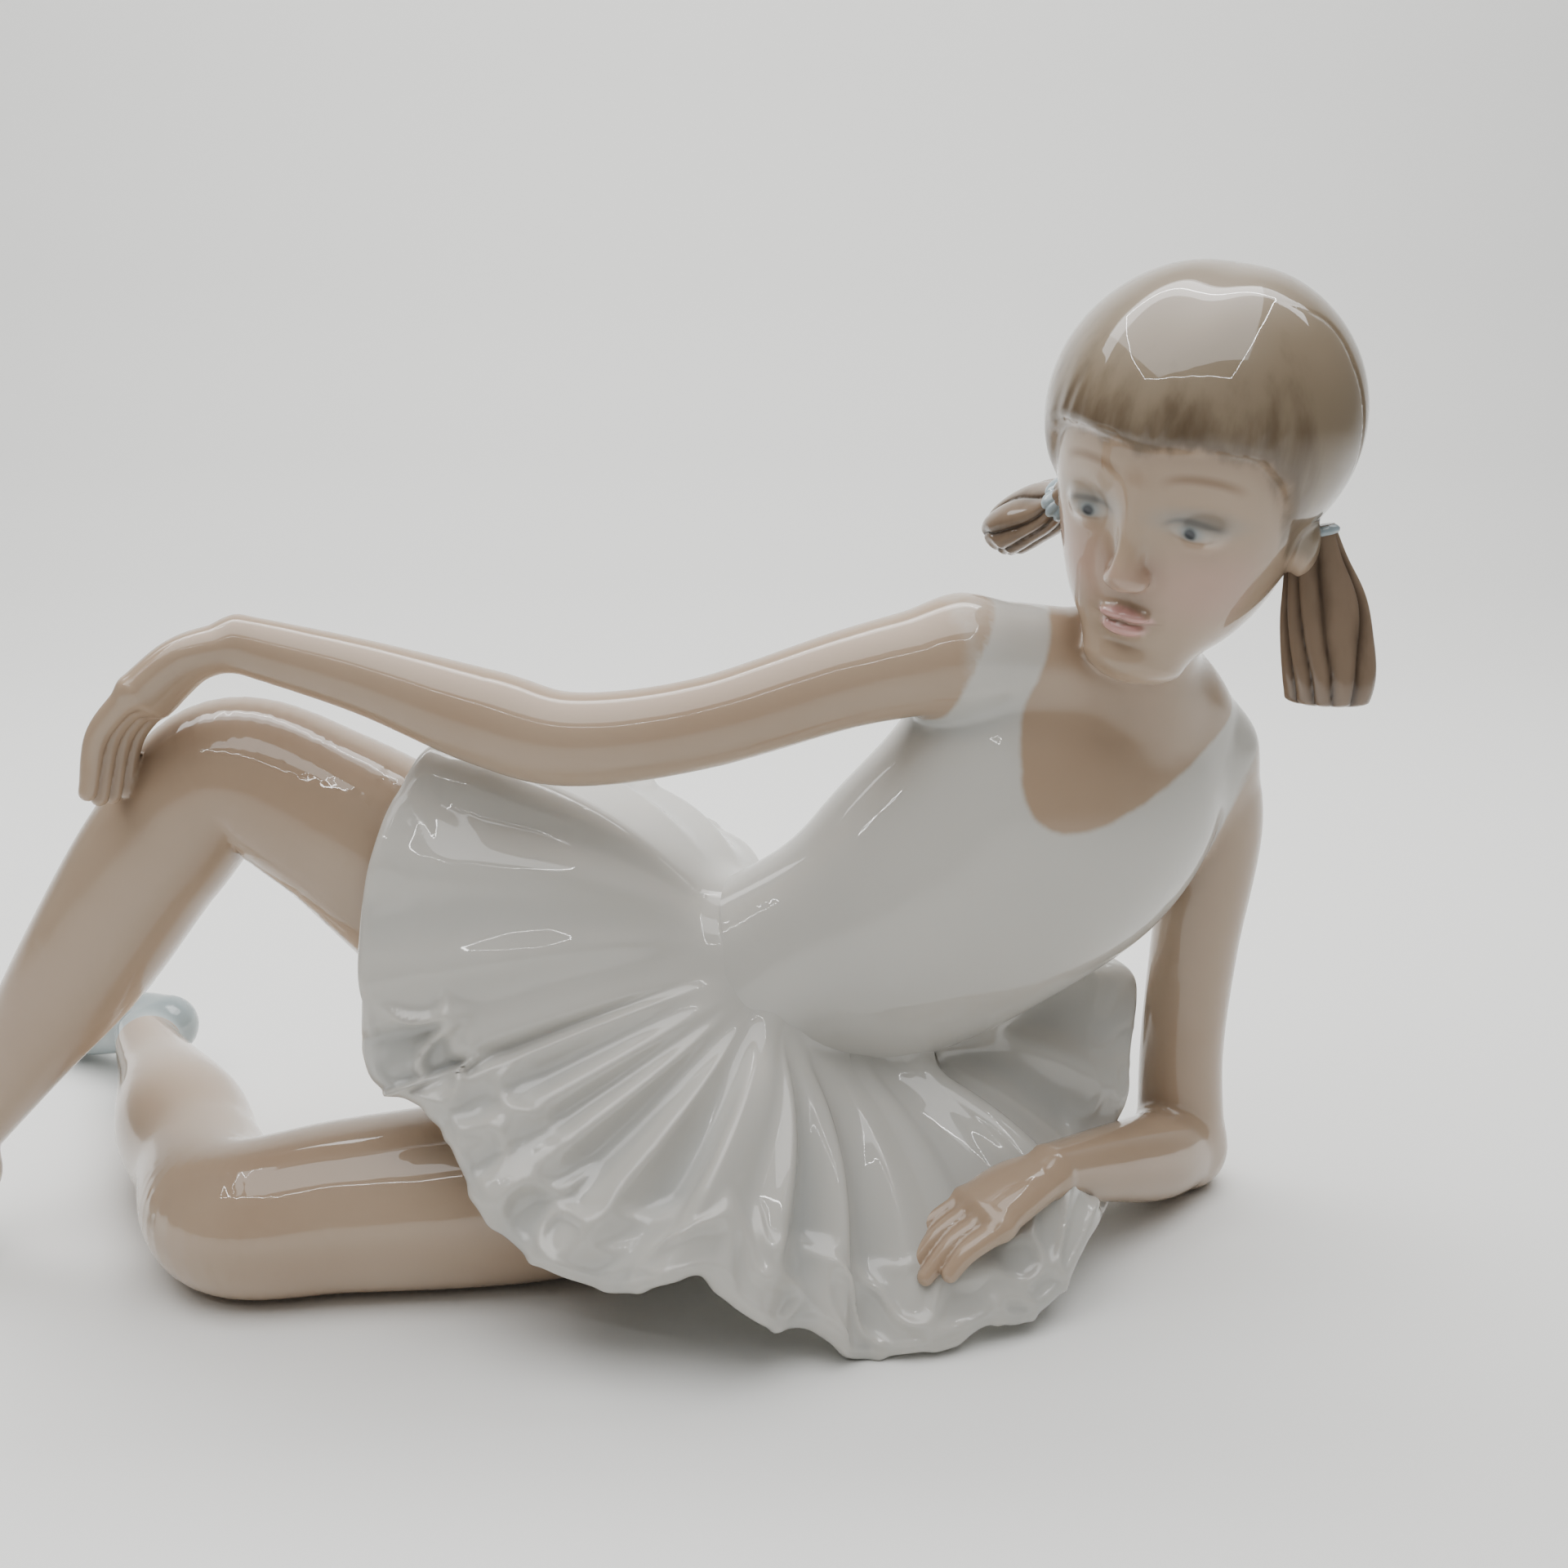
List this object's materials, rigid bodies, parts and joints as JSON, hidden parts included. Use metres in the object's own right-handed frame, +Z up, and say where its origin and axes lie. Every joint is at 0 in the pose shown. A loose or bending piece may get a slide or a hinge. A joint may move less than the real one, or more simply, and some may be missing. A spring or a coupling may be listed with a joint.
{
  "type": "reclining ballerina figurine",
  "caption": "Porcelain figurine of a young ballerina lying on one hip and leaning on a forearm, one knee raised, with a pleated tutu spread around her waist.",
  "frame": {"origin": "middle of the figure's box, on the surface that it lies on", "axes": "+X towards the head end, -Y towards the front that the chest faces, +Z up"},
  "size_m": [0.2636, 0.1286, 0.1593],
  "materials": {
    "glazed_porcelain": "gloss"
  },
  "bodies": {
    "root": {"ballerina_figurine": "glazed_porcelain"}
  },
  "joints": []
}
